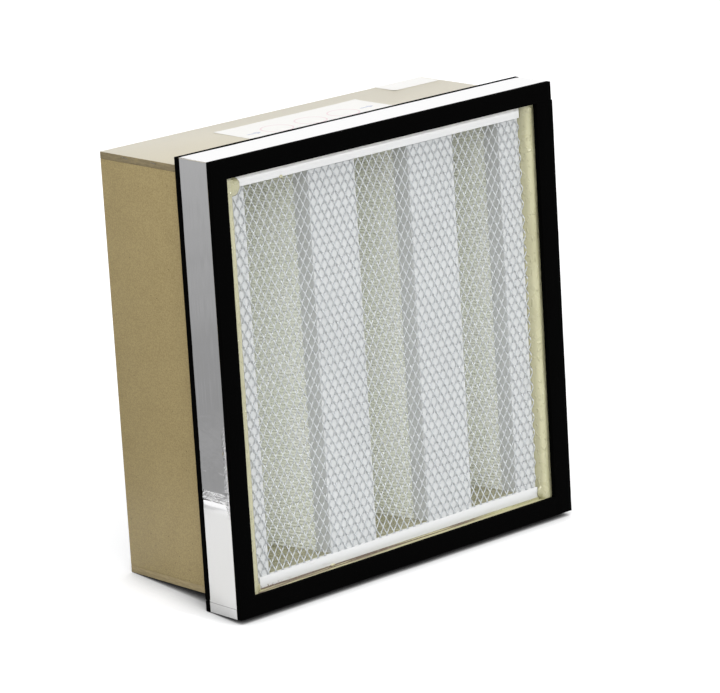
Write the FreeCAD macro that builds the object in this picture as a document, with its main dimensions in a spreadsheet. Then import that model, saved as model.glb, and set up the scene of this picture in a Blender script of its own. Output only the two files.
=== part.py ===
import FreeCAD, Part
import math
import os
import re
import Sketcher

# A pleated-pack air filter in a wooden case. Four boards make the case, a wooden collar round its front
# carries a foam gasket on both faces, and six slanted packs stand in cast resin as three V pockets.
# +Z is up, the mouth with the wider gasket looks along -Y, and the origin is below the middle of the box
# that the whole filter fills. All sizes are in millimetres.

# Driving sizes
SIZES = {
    # case
    "case_width": 578,
    "case_height": 578,
    "case_depth": 235,
    "board_thick": 9.5,
    # collar round the front of the case, its foil and its foam strips
    "batten_thick": 15.3,
    "batten_depth": 54,
    "foil_thick": 0.2,
    "foil_lap": 13.5,
    "front_foam_thick": 8,
    "front_foam_wide": 25,
    "rear_foam_thick": 8,
    "rear_foam_wide": 15,
    "foam_proud": 0.5,
    "foam_stray": 1,
    "foam_joint": 0.5,
    # cast resin: a bed under and over the packs, a bead down each side wall
    "bed_thick": 18,
    "bed_lip": 3.5,
    "pack_bite": 12,
    "bead_wide": 23.5,
    "bead_proud": 7,
    "bead_tongue": 22,
    "bead_round": 6,
    # channels that hold the ends of the guards
    "rail_inset": 7.5,
    "rail_tall": 15,
    "rail_deep": 5,
    "rail_wall": 1,
    # expanded metal guards
    "guard_thick": 1.2,
    "guard_strand": 4,
    "front_guard_columns": 10,
    "rear_guard_columns": 11,
    "guard_rows": 6,
    # pockets, from the left wall to the right one, and the channels between them
    "left_nose_reach": 45,
    "mouth_one": 110,
    "mouth_two": 95.5,
    "mouth_three": 85.5,
    "nose_wide": 82,
    "nose_wall": 1.5,
    "nose_leg": 23,
    "nose_round": 2,
    # pleated packs
    "pack_thick": 35,
    "fold_band": 6.5,
    "fold_count": 44,
    # labels on the top board
    "label_thick": 0.2,
    "wide_label_width": 255,
    "wide_label_depth": 105,
    "wide_label_back": 40.5,
    "small_label_width": 85,
    "small_label_depth": 42,
    "small_label_edge": 4,
}

# Places worked out from the sizes; a later line may use an earlier one
PLACES = {
    "front_face": "0 - (front_foam_thick + case_depth) / 2",
    "case_front": "front_face + front_foam_thick",
    "case_rear": "case_front + case_depth",
    "collar_rear": "case_front + batten_depth",
    "case_side": "case_width / 2",
    "inner_side": "case_side - board_thick",
    "collar_side": "case_side + batten_thick",
    "foil_side": "collar_side + foil_thick",
    "foam_side": "foil_side + foam_proud",
    "foil_bottom": "foam_proud",
    "collar_bottom": "foil_bottom + foil_thick",
    "case_bottom": "collar_bottom + batten_thick",
    "case_top": "case_bottom + case_height",
    "collar_top": "case_top + batten_thick",
    "foil_top": "collar_top + foil_thick",
    "foam_top": "foil_top + foam_proud",
    "inner_bottom": "case_bottom + board_thick",
    "inner_top": "case_top - board_thick",
    "bed_bottom": "inner_bottom + bed_thick",
    "bed_top": "inner_top - bed_thick",
    "rail_front": "case_front + rail_inset",
    "rail_rear": "case_rear - rail_inset",
    "nose_front": "rail_front + rail_deep",
    "nose_rear": "rail_rear - rail_deep",
    "bead_side": "inner_side - bead_wide",
    "rail_bottom": "inner_bottom + bed_lip",
    "rail_top": "inner_top - bed_lip",
    "pack_bottom": "bed_bottom - pack_bite",
    "pack_tall": "bed_top + pack_bite - pack_bottom",
    "guard_bottom": "rail_bottom + rail_wall",
    "guard_tall": "rail_top - rail_wall - guard_bottom",
    "front_column": "2 * bead_side / front_guard_columns",
    "rear_column": "2 * inner_side / rear_guard_columns",
    "gap_row": "guard_tall / guard_rows",
}

# Two points nearer than this are one point, and a plate that keeps more than this share was not cut
SAME_POINT = 0.01
UNCUT_SHARE = 0.9

doc = FreeCAD.newDocument("filter")
sheet = doc.addObject("Spreadsheet::Sheet", "Sizes")
for row, (word, number) in enumerate(SIZES.items(), start=1):
    sheet.set(f"A{row}", word)
    sheet.set(f"B{row}", str(number))
    sheet.setAlias(f"B{row}", word)
doc.recompute()


def link(formula):
    """The formula with each size and place named as the document knows it."""
    def owner(match):
        word = match.group()
        if word in SIZES:
            return "Sizes." + word
        if word in PLACES:
            return "Places." + word
        return word
    return re.sub(r"[a-z_]+", owner, formula)


places = doc.addObject("App::VarSet", "Places")
for word, formula in PLACES.items():
    places.addProperty("App::PropertyFloat", word)
    places.setExpression(word, link(formula))
doc.recompute()


def at(word):
    """The present value of a size or a place."""
    if word in SIZES:
        return float(sheet.get(word))
    return float(getattr(places, word))


pieces = []


def keep(piece):
    """List a finished piece, which is written to a file of its own name."""
    pieces.append(piece)
    return piece


# Plain blocks

def block(label, across, along, upward):
    """A box between a low and a high formula on each axis."""
    piece = doc.addObject("Part::Box", label)
    spans = (("Length", "x", across), ("Width", "y", along), ("Height", "z", upward))
    for side, axis, (low, high) in spans:
        piece.setExpression(side, link(f"({high}) - ({low})"))
        piece.setExpression("Placement.Base." + axis, link(low))
    return piece


# Sketches

def new_sketch(body, role, label):
    """A sketch on one of the body's own origin planes."""
    plane = next(item for item in body.Origin.OriginFeatures if item.Role == role)
    sketch = body.newObject("Sketcher::SketchObject", label)
    sketch.AttachmentSupport = (plane, "")
    sketch.MapMode = "FlatFace"
    return sketch


def draw_outline(sketch, corners):
    """Join the corners with straight edges, closed, and return the first edge's number."""
    first = sketch.GeometryCount
    ring = [FreeCAD.Vector(x, y, 0) for x, y in corners]
    edges = [Part.LineSegment(start, end) for start, end in zip(ring, ring[1:] + ring[:1])]
    sketch.addGeometry(edges, False)
    numbers = list(range(first, first + len(ring)))
    sketch.addConstraint([Sketcher.Constraint("Coincident", here, 2, after, 1)
                          for here, after in zip(numbers, numbers[1:] + numbers[:1])])
    return first


def draw_sized_outline(sketch, corners):
    """An outline whose corners hold two formulas each, their distances from the origin."""
    turn = 2 * math.pi / len(corners)
    start = [(math.cos(turn * index), math.sin(turn * index)) for index in range(len(corners))]
    first = draw_outline(sketch, start)
    for index, (formulas, begun) in enumerate(zip(corners, start)):
        for way, formula, number in zip(("DistanceX", "DistanceY"), formulas, begun):
            rule = sketch.addConstraint(Sketcher.Constraint(way, -1, 1, first + index, 1, number))
            sketch.setExpression(f"Constraints[{rule}]", link(formula))


def pad(body, sketch, length, centred=False):
    """Extrude a sketch by a formula's length."""
    feature = body.newObject("PartDesign::Pad", sketch.Name + "_pad")
    feature.Profile = sketch
    feature.setExpression("Length", link(length))
    feature.Midplane = centred
    doc.recompute()
    return feature


def round_upright_edges(body, base, spots, radius):
    """Fillet the upright edges that stand on the given ground points."""
    names = []
    for number, edge in enumerate(base.Shape.Edges, start=1):
        ends = [vertex.Point for vertex in edge.Vertexes]
        ground = [(point.x, point.y) for point in ends]
        upright = len(ends) == 2 and math.dist(*ground) < SAME_POINT
        if upright and any(math.dist(ground[0], spot) < SAME_POINT for spot in spots):
            names.append(f"Edge{number}")
    fillet = body.newObject("PartDesign::Fillet", base.Name + "_round")
    fillet.Base = (base, names)
    fillet.setExpression("Radius", link(radius))
    doc.recompute()


# Case: the top and bottom boards run over the ends of the side boards

def make_case():
    along = ("case_front", "case_rear")
    full = ("0 - case_side", "case_side")
    between = ("inner_bottom", "inner_top")
    keep(block("bottom_board", full, along, ("case_bottom", "inner_bottom")))
    keep(block("top_board", full, along, ("inner_top", "case_top")))
    keep(block("left_board", ("0 - case_side", "0 - inner_side"), along, between))
    keep(block("right_board", ("inner_side", "case_side"), along, between))


# Collar: four battens flush with the front edges of the case

def make_collar():
    along = ("case_front", "collar_rear")
    full = ("0 - collar_side", "collar_side")
    between = ("case_bottom", "case_top")
    keep(block("bottom_batten", full, along, ("collar_bottom", "case_bottom")))
    keep(block("top_batten", full, along, ("case_top", "collar_top")))
    keep(block("left_batten", ("0 - collar_side", "0 - case_side"), along, between))
    keep(block("right_batten", ("case_side", "collar_side"), along, between))


# Foil: one tape round the collar, its end lapped over the start low on the left face

def make_foil():
    along = ("case_front", "collar_rear")
    outer = block("foil_outer", ("0 - foil_side", "foil_side"), along, ("foil_bottom", "foil_top"))
    inner = block("foil_inner", ("0 - collar_side", "collar_side"), along, ("collar_bottom", "collar_top"))
    ring = doc.addObject("Part::Cut", "foil_ring")
    ring.Base = outer
    ring.Tool = inner
    lap = block("foil_tail", ("0 - foil_side - foil_thick", "0 - foil_side"), along,
                ("foil_bottom", "foil_bottom + foil_lap"))
    band = doc.addObject("Part::Fuse", "foil_band")
    band.Base = ring
    band.Tool = lap
    keep(band)


# Gaskets: each strip butts against the side of the next, so the joints turn round like a pinwheel

def make_gasket(face, near, far, wide, strays):
    """Four foam strips on one face of the collar; a strayed strip hangs out past its neighbours."""
    along = (near, far)
    side = "foam_side"
    inside = f"foam_side - {wide}"
    left_out = "0 - foam_side" + strays.get("left", "")
    right_out = "foam_side" + strays.get("right", "")
    low = ("0", wide)
    high = (f"foam_top - {wide}", "foam_top")
    keep(block(f"{face}_foam_left", (left_out, f"0 - ({inside})"), along,
               (f"{wide} + foam_joint", "foam_top")))
    keep(block(f"{face}_foam_top", (f"foam_joint - ({inside})", side), along, high))
    keep(block(f"{face}_foam_right", (inside, right_out), along,
               ("0", f"foam_top - {wide} - foam_joint")))
    keep(block(f"{face}_foam_bottom", (f"0 - {side}", f"{inside} - foam_joint"), along, low))


def make_gaskets():
    make_gasket("front", "front_face", "case_front", "front_foam_wide", {"right": " + foam_stray"})
    make_gasket("rear", "collar_rear", "collar_rear + rear_foam_thick", "rear_foam_wide",
                {"left": " - foam_stray"})


# Pleated packs: each one lies between the corner of a front channel and the corner of a rear one

class Pack:
    """Where one pack stands: its lean from +Y, its two end points on the ground and its length."""

    def __init__(self, front_corner, rear_corner, pocket_side):
        # pocket_side is +1 where the front pocket lies to the pack's right and -1 to its left
        hold = at("pack_thick") / 2 + at("nose_wall")
        across = (rear_corner[0] - front_corner[0]) * pocket_side
        along = rear_corner[1] - front_corner[1]
        tilt = math.acos(2 * hold / math.hypot(across, along)) - math.atan2(along, -across)
        self.lean = -tilt * pocket_side
        self.way = (math.sin(self.lean), math.cos(self.lean))
        self.left = (-self.way[1], self.way[0])
        back_off = at("pack_thick") / 2 * abs(math.sin(self.lean))
        shift = hold * pocket_side
        on_axis = (front_corner[0] + self.left[0] * shift, front_corner[1] + self.left[1] * shift)
        self.front = self.point_at_depth(on_axis, at("nose_front") + at("nose_wall") + back_off)
        self.rear = self.point_at_depth(on_axis, at("nose_rear") - at("nose_wall") - back_off)
        self.length = math.dist(self.front, self.rear)

    def point_at_depth(self, on_axis, depth):
        """The point of the pack's axis at the given depth along +Y."""
        return (on_axis[0] + (depth - on_axis[1]) * math.tan(self.lean), depth)

    def side_point(self, side, off, along):
        """A point beside the pack: off from its axis to the left (+1) or right (-1) side."""
        return (self.front[0] + self.left[0] * side * off + self.way[0] * along,
                self.front[1] + self.left[1] * side * off + self.way[1] * along)

    def side_at_depth(self, side, off, depth):
        """Where a line beside the pack crosses the given depth."""
        return self.point_at_depth(self.side_point(side, off, 0), depth)


def lay_out_packs():
    """Two packs for each pocket, from the left wall to the right one."""
    packs = []
    left = at("left_nose_reach") - at("inner_side")
    for mouth in ("mouth_one", "mouth_two", "mouth_three"):
        right = left + at(mouth)
        middle = (left + right) / 2
        half_nose = at("nose_wide") / 2
        front, rear = at("nose_front"), at("nose_rear")
        packs.append(Pack((left, front), (middle - half_nose, rear), 1))
        packs.append(Pack((right, front), (middle + half_nose, rear), -1))
        left = right + at("nose_wide")
    return packs


def draw_folds():
    """The section shared by all packs: a folded band between two plain ends that the resin grips."""
    half = at("pack_thick") / 2
    swing = at("pack_thick") - at("fold_band")
    bite = at("pack_bite")
    tall = at("pack_tall")
    folds = 2 * round(at("fold_count"))
    rise = (tall - 2 * bite) / folds
    right_edge = []
    for fold in range(folds + 1):
        out = 0 if fold % 2 else swing
        right_edge.append((half - out, bite + fold * rise))
    left_edge = [(x - at("fold_band"), z) for x, z in reversed(right_edge)]
    section = doc.addObject("Sketcher::SketchObject", "pleat_section")
    section.Placement.Rotation = FreeCAD.Rotation(FreeCAD.Vector(1, 0, 0), 90)
    foot = [(-half, 0), (half, 0), (half, bite)]
    head = [(half, tall - bite), (half, tall), (-half, tall)]
    draw_outline(section, foot + right_edge + head + left_edge)
    return section


def make_packs(packs):
    section = draw_folds()
    solids = []
    for number, pack in enumerate(packs, start=1):
        solid = doc.addObject("Part::Extrusion", f"pleat_pack_{number}")
        solid.Base = section
        solid.DirMode = "Custom"
        solid.Dir = FreeCAD.Vector(0, 1, 0)
        solid.LengthFwd = pack.length
        solid.Solid = True
        solid.Placement.Base = FreeCAD.Vector(*pack.front, 0)
        solid.Placement.Rotation = FreeCAD.Rotation(FreeCAD.Vector(0, 0, 1), -math.degrees(pack.lean))
        solid.setExpression("Placement.Base.z", link("pack_bottom"))
        solids.append(keep(solid))
    return solids


# Noses: white channels that close the ends of one pack or of two that meet

def make_nose(label, left_pack, right_pack, at_front):
    """A channel with a leg on the outer side of each pack, open towards the middle of the filter."""
    thick = at("pack_thick") / 2
    hold = thick + at("nose_wall")
    face = at("nose_front") if at_front else at("nose_rear")
    inside = face + at("nose_wall") if at_front else face - at("nose_wall")

    def leg(pack, side):
        reach = at("nose_leg") if at_front else pack.length - at("nose_leg")
        return [pack.side_at_depth(side, hold, face),
                pack.side_point(side, hold, reach),
                pack.side_point(side, thick, reach),
                pack.side_at_depth(side, thick, inside)]

    corners = leg(left_pack, 1) + list(reversed(leg(right_pack, -1)))
    body = doc.addObject("PartDesign::Body", label)
    section = new_sketch(body, "XY_Plane", label + "_section")
    draw_outline(section, corners)
    base = pad(body, section, "pack_tall")
    round_upright_edges(body, base, (corners[0], corners[-1]), "nose_round")
    body.setExpression("Placement.Base.z", link("pack_bottom"))
    return keep(body)


def make_noses(packs):
    one, two, three, four, five, six = packs
    return [
        make_nose("front_nose_left_side", one, one, True),
        make_nose("front_nose_left", two, three, True),
        make_nose("front_nose_right", four, five, True),
        make_nose("front_nose_right_side", six, six, True),
        make_nose("rear_nose_left", one, two, False),
        make_nose("rear_nose_middle", three, four, False),
        make_nose("rear_nose_right", five, six, False),
    ]


# Beads: resin run down the side walls, with a tongue behind the side nose

def make_bead(label, side, nose_edge):
    """side is -1 at the left wall and 1 at the right; nose_edge is the side nose's outer corner."""
    wall = side * at("inner_side")
    lip = side * at("bead_side")
    front = at("nose_front") - at("bead_proud")
    corners = [(wall, front), (lip, front), (lip, at("nose_front")), (nose_edge, at("nose_front")),
               (nose_edge, at("nose_front") + at("bead_tongue")),
               (wall, at("nose_front") + at("bead_tongue"))]
    body = doc.addObject("PartDesign::Body", label)
    section = new_sketch(body, "XY_Plane", label + "_section")
    draw_outline(section, corners)
    base = pad(body, section, "inner_top - inner_bottom")
    round_upright_edges(body, base, corners[1:2], "bead_round")
    body.setExpression("Placement.Base.z", link("inner_bottom"))
    return keep(body)


def make_beads(packs):
    hold = at("pack_thick") / 2 + at("nose_wall")
    face = at("nose_front")
    left_edge = packs[0].side_at_depth(1, hold, face)[0]
    right_edge = packs[-1].side_at_depth(-1, hold, face)[0]
    return [make_bead("left_bead", -1, left_edge), make_bead("right_bead", 1, right_edge)]


# Beds: cast resin under and over the packs, with a low lip at each end that the rails stand on

def make_bed(label, height, turned, held):
    body = doc.addObject("PartDesign::Body", label + "_cast")
    section = new_sketch(body, "YZ_Plane", label + "_section")
    draw_sized_outline(section, [
        ("rail_front", "0"), ("rail_rear", "0"), ("rail_rear", "bed_lip"), ("nose_rear", "bed_lip"),
        ("nose_rear", "bed_thick"), ("nose_front", "bed_thick"), ("nose_front", "bed_lip"),
        ("rail_front", "bed_lip"),
    ])
    pad(body, section, "2 * inner_side", centred=True)
    body.Placement.Rotation = FreeCAD.Rotation(FreeCAD.Vector(0, 1, 0), turned)
    body.setExpression("Placement.Base.z", link(height))
    bed = doc.addObject("Part::Cut", label)
    bed.Base = body
    bed.Tool = held
    return keep(bed)


def make_beds(packs, noses, beads):
    held = doc.addObject("Part::Compound", "cast_in")
    held.Links = packs + noses + beads
    make_bed("bottom_bed", "inner_bottom", 0, held)
    make_bed("top_bed", "inner_top", 180, held)


# Rails: channels that take the two ends of a guard. At the front they end at the beads, and at the rear,
# where the walls are bare, they run from wall to wall

def make_rail(label, face, height, turned, end):
    body = doc.addObject("PartDesign::Body", label)
    section = new_sketch(body, "YZ_Plane", label + "_section")
    draw_sized_outline(section, [
        ("0", "0"), ("rail_deep", "0"), ("rail_deep", "rail_tall"),
        ("rail_deep - rail_wall", "rail_tall"), ("rail_deep - rail_wall", "rail_wall"),
        ("rail_wall", "rail_wall"), ("rail_wall", "rail_tall"), ("0", "rail_tall"),
    ])
    pad(body, section, f"2 * {end}", centred=True)
    body.Placement.Rotation = FreeCAD.Rotation(FreeCAD.Vector(0, 1, 0), turned)
    body.setExpression("Placement.Base.y", link(face))
    body.setExpression("Placement.Base.z", link(height))
    keep(body)


def make_rails():
    for name, face, end in (("front", "rail_front", "bead_side"), ("rear", "nose_rear", "inner_side")):
        make_rail(f"{name}_bottom_rail", face, "rail_bottom", 0, end)
        make_rail(f"{name}_top_rail", face, "rail_top", 180, end)


# Guards: sheets of expanded metal, drawn here with gaps about four times the real ones. Two lattices of
# diamonds, half a gap apart both ways, leave strands that run off the four cut edges

def cut_gaps(body, plate, label, pitch, column, row, columns, rows, refined=False):
    """Cut one lattice of gaps, its first gap at the given formulas and the columns a pitch apart."""
    slant = math.atan2(at("gap_row"), at(pitch))
    half_wide = at(pitch) / 2 - at("guard_strand") / 2 / math.sin(slant)
    half_tall = at("gap_row") / 2 - at("guard_strand") / 2 / math.cos(slant)
    section = new_sketch(body, "XZ_Plane", label)
    draw_sized_outline(section, [
        (f"{column} - {half_wide}", row), (column, f"{row} - {half_tall}"),
        (f"{column} + {half_wide}", row), (column, f"{row} + {half_tall}"),
    ])
    gap = body.newObject("PartDesign::Pocket", label + "_gap")
    gap.Profile = section
    gap.Type = "ThroughAll"
    gap.Midplane = True
    gap.Refine = False
    doc.recompute()
    spread = body.newObject("PartDesign::MultiTransform", label + "_spread")
    across = body.newObject("PartDesign::LinearPattern", label + "_across")
    across.Direction = (section, ["H_Axis"])
    across.setExpression("Length", link(f"{pitch} * ({columns} - 1)"))
    across.setExpression("Occurrences", link(columns))
    upward = body.newObject("PartDesign::LinearPattern", label + "_upward")
    upward.Direction = (section, ["V_Axis"])
    upward.setExpression("Length", link(f"gap_row * ({rows} - 1)"))
    upward.setExpression("Occurrences", link(rows))
    spread.Originals = [gap]
    spread.Transformations = [across, upward]
    spread.Refine = refined
    body.Tip = spread
    doc.recompute()
    if body.Shape.Volume > plate.Shape.Volume * UNCUT_SHARE:
        raise RuntimeError(label + " cut too little")


def make_guard(name, channel_face, end):
    label = name + "_guard"
    pitch = name + "_column"
    columns = name + "_guard_columns"
    body = doc.addObject("PartDesign::Body", label)
    outline = new_sketch(body, "XZ_Plane", label + "_outline")
    draw_sized_outline(outline, [
        (f"0 - {end}", "0"), (end, "0"), (end, "guard_tall"), (f"0 - {end}", "guard_tall"),
    ])
    plate = pad(body, outline, "guard_thick", centred=True)
    cut_gaps(body, plate, label + "_even", pitch, f"0 - {end}", "gap_row / 2",
             f"{columns} + 1", "guard_rows")
    cut_gaps(body, plate, label + "_odd", pitch, f"{pitch} / 2 - {end}", "0",
             columns, "guard_rows + 1", refined=True)
    body.setExpression("Placement.Base.y", link(f"{channel_face} + rail_deep / 2"))
    body.setExpression("Placement.Base.z", link("guard_bottom"))
    keep(body)


def make_guards():
    make_guard("front", "rail_front", "bead_side")
    make_guard("rear", "nose_rear", "inner_side")


# Labels on the top board: a wide one in the middle and a small one in the far right corner

def make_labels():
    on_top = ("case_top", "case_top + label_thick")
    keep(block("wide_label", ("0 - wide_label_width / 2", "wide_label_width / 2"),
               ("case_rear - wide_label_back - wide_label_depth", "case_rear - wide_label_back"), on_top))
    keep(block("small_label",
               ("case_side - small_label_edge - small_label_width", "case_side - small_label_edge"),
               ("case_rear - small_label_depth", "case_rear"), on_top))


def check_document():
    """Stop if any object failed or any piece has no sound solid."""
    for item in doc.Objects:
        if "Invalid" in item.State or "Error" in item.State:
            raise RuntimeError(f"{item.Label} failed: {item.State}")
    for piece in pieces:
        shape = piece.Shape
        if shape.isNull() or not shape.isValid() or not shape.Solids:
            raise RuntimeError(piece.Label + " has no sound solid")


def main():
    make_case()
    make_collar()
    make_foil()
    make_gaskets()
    layout = lay_out_packs()
    packs = make_packs(layout)
    noses = make_noses(layout)
    beads = make_beads(layout)
    doc.recompute()
    make_beds(packs, noses, beads)
    make_rails()
    make_guards()
    make_labels()
    doc.recompute()
    check_document()
    os.makedirs("parts", exist_ok=True)
    for piece in pieces:
        piece.Shape.exportStep(f"parts/{piece.Label}.step")
    print(len(pieces), "pieces written")


main()
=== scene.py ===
import math

import bmesh
import bpy
from bpy.props import FloatProperty, FloatVectorProperty, PointerProperty
from mathutils import Euler, Matrix, Vector, noise


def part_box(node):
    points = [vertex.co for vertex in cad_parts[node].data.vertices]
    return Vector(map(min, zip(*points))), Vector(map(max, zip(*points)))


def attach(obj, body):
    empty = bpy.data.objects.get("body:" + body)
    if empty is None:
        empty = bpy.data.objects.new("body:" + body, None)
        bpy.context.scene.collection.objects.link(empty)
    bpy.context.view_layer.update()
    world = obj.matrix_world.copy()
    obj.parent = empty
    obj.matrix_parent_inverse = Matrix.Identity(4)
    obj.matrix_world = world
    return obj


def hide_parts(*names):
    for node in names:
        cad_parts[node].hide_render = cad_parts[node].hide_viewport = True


# Looks of a pleated air filter in a wooden case: boards, foil and foam round the collar, slanted packs,
# white channels, resin and expanded metal guards. Lengths are in metres, in the frame's own axes.

bl_info = {
    "name": "Pleated Filter Looks",
    "version": (1, 0, 0),
    "blender": (4, 5, 0),
    "location": "View3D > Sidebar > Filter",
    "description": "Models the finished pieces of a wooden-cased pleated filter round its frame",
    "category": "Mesh",
}

MM = 0.001
X, Y, Z = range(3)

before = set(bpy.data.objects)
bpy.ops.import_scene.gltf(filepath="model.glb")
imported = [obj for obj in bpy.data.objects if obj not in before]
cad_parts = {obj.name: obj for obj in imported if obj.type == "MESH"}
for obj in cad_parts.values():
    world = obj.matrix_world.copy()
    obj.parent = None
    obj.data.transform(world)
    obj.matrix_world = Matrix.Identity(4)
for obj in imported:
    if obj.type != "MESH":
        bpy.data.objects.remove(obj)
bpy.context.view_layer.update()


# Values that a user may change

def size(name, description, millimetres):
    return FloatProperty(name=name, description=description, default=millimetres * MM, min=0.0,
                         unit="LENGTH", precision=5)


def share(name, description, default):
    return FloatProperty(name=name, description=description, default=default, min=0.0, max=1.0,
                         subtype="FACTOR")


def linear(red, green, blue):
    """A colour written in screen values from 0 to 255, as linear light."""
    values = [channel / 255 for channel in (red, green, blue)]
    return tuple(v / 12.92 if v < 0.04045 else ((v + 0.055) / 1.055) ** 2.4 for v in values)


def colour(name, description, red, green, blue):
    return FloatVectorProperty(name=name, description=description, default=linear(red, green, blue),
                               min=0.0, max=1.0, size=3, subtype="COLOR")


class CaseSettings(bpy.types.PropertyGroup):
    board: colour("Board", "Face of the fibreboard", 178, 160, 112)
    board_dark: colour("Board shade", "Darker fibres in the face", 147, 129, 85)
    # The lid colour is paler and greyer than the board: a painted sheen, where light grazes the top board's upper
    # face.
    lid: colour("Lid", "Duller upper face of the top board", 194, 186, 160)
    sawn: colour("Sawn edge", "Cut edges of the boards", 168, 152, 115)
    speck: colour("Specks", "Dark specks in the fibreboard", 84, 70, 46)
    edge_round: size("Edge round", "Radius on the boards' edges", 0.6)
    staple_width: size("Staple width", "Crown of a staple", 11)
    staple_wire: size("Staple wire", "Thickness of a staple's wire", 1.1)


class FoilSettings(bpy.types.PropertyGroup):
    metal: colour("Foil", "Aluminium tape", 230, 230, 231)
    metal_low: colour("Low foil", "Duller tape below the long fold", 205, 205, 204)
    corner_round: size("Corner round", "Radius of the tape round the collar's corners", 1.4)
    lap: size("Lap", "Height of the overlap on the left face", 13.5)
    ripple: size("Ripple", "Height of the slow waves in the tape", 0.16)
    crease: size("Crease", "Depth of the folds low on the left face", 0.42)
    crease_height: size("Crease height", "Where the long fold crosses the left face", 157)
    lean: share("Lean", "Slope of the tape below the long fold", 0.08)


class FoamSettings(bpy.types.PropertyGroup):
    foam: colour("Foam", "Closed-cell foam strips", 2, 2, 2)
    edge_round: size("Edge round", "Radius on the strips' edges", 1.0)
    wave: size("Wave", "How far the strips' faces wander inward", 0.35)
    spread: size("Spread", "How far the front strips spread towards the mouth", 1.6)


class PackSettings(bpy.types.PropertyGroup):
    paper: colour("Paper", "Glass-fibre paper", 251, 252, 246)
    shade: colour("Paper shade", "Yellower patches in the paper", 248, 250, 240)
    fold_pitch: size("Fold pitch", "Height from one fold to the next", 4.3)
    fold_round: size("Fold round", "Radius at the tip of a fold", 1.75)
    fold_flat: share("Fold flatness", "Depth of a tip against its radius", 0.5)
    paper_thick: size("Paper thickness", "Thickness of the folded paper", 0.35)
    wander: size("Wander", "How far a fold wanders along its run", 0.09)


class GuardSettings(bpy.types.PropertyGroup):
    paint: colour("Guard paint", "White paint on the expanded metal", 194, 198, 200)
    gap_wide: size("Gap width", "Width of one diamond", 12.4)
    gap_tall: size("Gap height", "Height of one diamond", 21.6)
    strand: size("Strand", "Width of a strand", 1.85)
    bond_wide: size("Bond width", "Half the width of a crossing", 1.0)
    bond_tall: size("Bond height", "Half the height of a crossing", 1.3)
    metal_thick: size("Metal thickness", "Thickness of the sheet", 0.35)
    lean: size("Lean", "How far a strand's lower side stands in front of its upper side", 0.02)
    bulge: size("Bulge", "How far the sheet bows in and out", 0.4)
    press: size("Press", "How near the sheet is pressed to the middle channels", 1.0)
    spread: size("Spread", "How far the cut side bows into the right bead", 6)


class WhiteSettings(bpy.types.PropertyGroup):
    channel: colour("Channels", "White channels that close the packs", 206, 208, 208)
    rail: colour("Rails", "White rails that hold the guards", 212, 213, 213)
    dirt: colour("Dirt", "Grime at the ends of the rails", 120, 104, 84)
    edge_round: size("Edge round", "Radius on the rails' edges", 0.35)


class ResinSettings(bpy.types.PropertyGroup):
    resin: colour("Resin", "Cast sealing resin", 188, 185, 150)
    resin_deep: colour("Deep resin", "Thicker resin", 174, 171, 136)
    # The bed colour is darker than the resin: painted shade on the lower bed, low in the pockets.
    bed: colour("Bed", "Dusty resin that the packs stand in", 160, 157, 128)
    dirt: colour("Dirt", "Grime on the resin below the lower front rail", 112, 98, 88)
    bead_wave: size("Bead wave", "How far the beads' faces wander", 1.0)
    bead_lip: size("Bead lip", "How far a bead falls back at its lip", 4.6)
    bead_bulge: size("Bead bulge", "How far a bead's middle stands out", 4.6)


class LabelSettings(bpy.types.PropertyGroup):
    sticker: colour("Sticker", "White sticker", 229, 228, 225)
    ring: colour("Rings", "Thin printed rings", 222, 204, 207)
    arrow: colour("Arrows", "Printed arrows", 184, 189, 206)
    ring_radius: size("Ring radius", "Radius of a printed ring", 22)
    ring_line: size("Ring line", "Width of a printed line", 2.2)
    curl: size("Curl", "How far the corners lift", 0.5)


class StageSettings(bpy.types.PropertyGroup):
    floor: colour("Floor", "Pale floor", 188, 188, 189)
    floor_lift: share("Floor lift", "Light added where the floor is seen, so that only its shadow shows", 0.6)
    contact: size("Contact", "Reach of the shade where the filter nearly touches the floor", 80)
    # The card glows with no lamp behind it: its tones are painted reflections in the foil's left face.
    card: share("Card", "Tone of the card that the foil's left face mirrors", 0.37)
    card_top: share("Card top", "Tone of the card high up", 0.49)
    card_foot: share("Card foot", "Tone of the card's lowest part", 0.64)
    card_line: size("Card line", "Height at which the card's tone changes", 48)
    lean: FloatProperty(name="Lean", description="Slope of the floor, as the filter leans back on it",
                        default=math.radians(5.28), subtype="ANGLE")
    lens: FloatProperty(name="Lens", description="Focal length for a sensor 36 mm wide",
                        default=206.576, unit="CAMERA")
    fill: FloatProperty(name="Fill", description="Share of light from all around", default=0.27)
    white: FloatProperty(name="White", description="Brightness of the surroundings where they show",
                         default=1.22)
    key: FloatProperty(name="Key", description="Share of light from the right", default=0.49)
    side: FloatProperty(name="Side", description="Share of light from the left", default=0.62)
    top: FloatProperty(name="Top", description="Share of light from above", default=0.5)


def setting(group):
    return getattr(bpy.context.scene, "filter_" + group)


# Shapes

def block(low, high):
    """A box between two corners."""
    shape = bmesh.new()
    bmesh.ops.create_cube(shape, size=1)
    bmesh.ops.scale(shape, vec=high - low, verts=shape.verts)
    bmesh.ops.translate(shape, vec=(low + high) / 2, verts=shape.verts)
    return shape


def copy_of(node):
    """A frame node's solid with its triangles merged into whole faces."""
    shape = bmesh.new()
    shape.from_mesh(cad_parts[node].data)
    bmesh.ops.remove_doubles(shape, verts=shape.verts, dist=0.01 * MM)
    bmesh.ops.dissolve_limit(shape, angle_limit=math.radians(1), verts=shape.verts, edges=shape.edges)
    return shape


def round_edges(shape, radius, segments=2, edges=None):
    bmesh.ops.bevel(shape, geom=shape.edges[:] if edges is None else edges, offset=radius,
                    offset_type="OFFSET", segments=segments, profile=0.5, affect="EDGES", material=-1)


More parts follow.
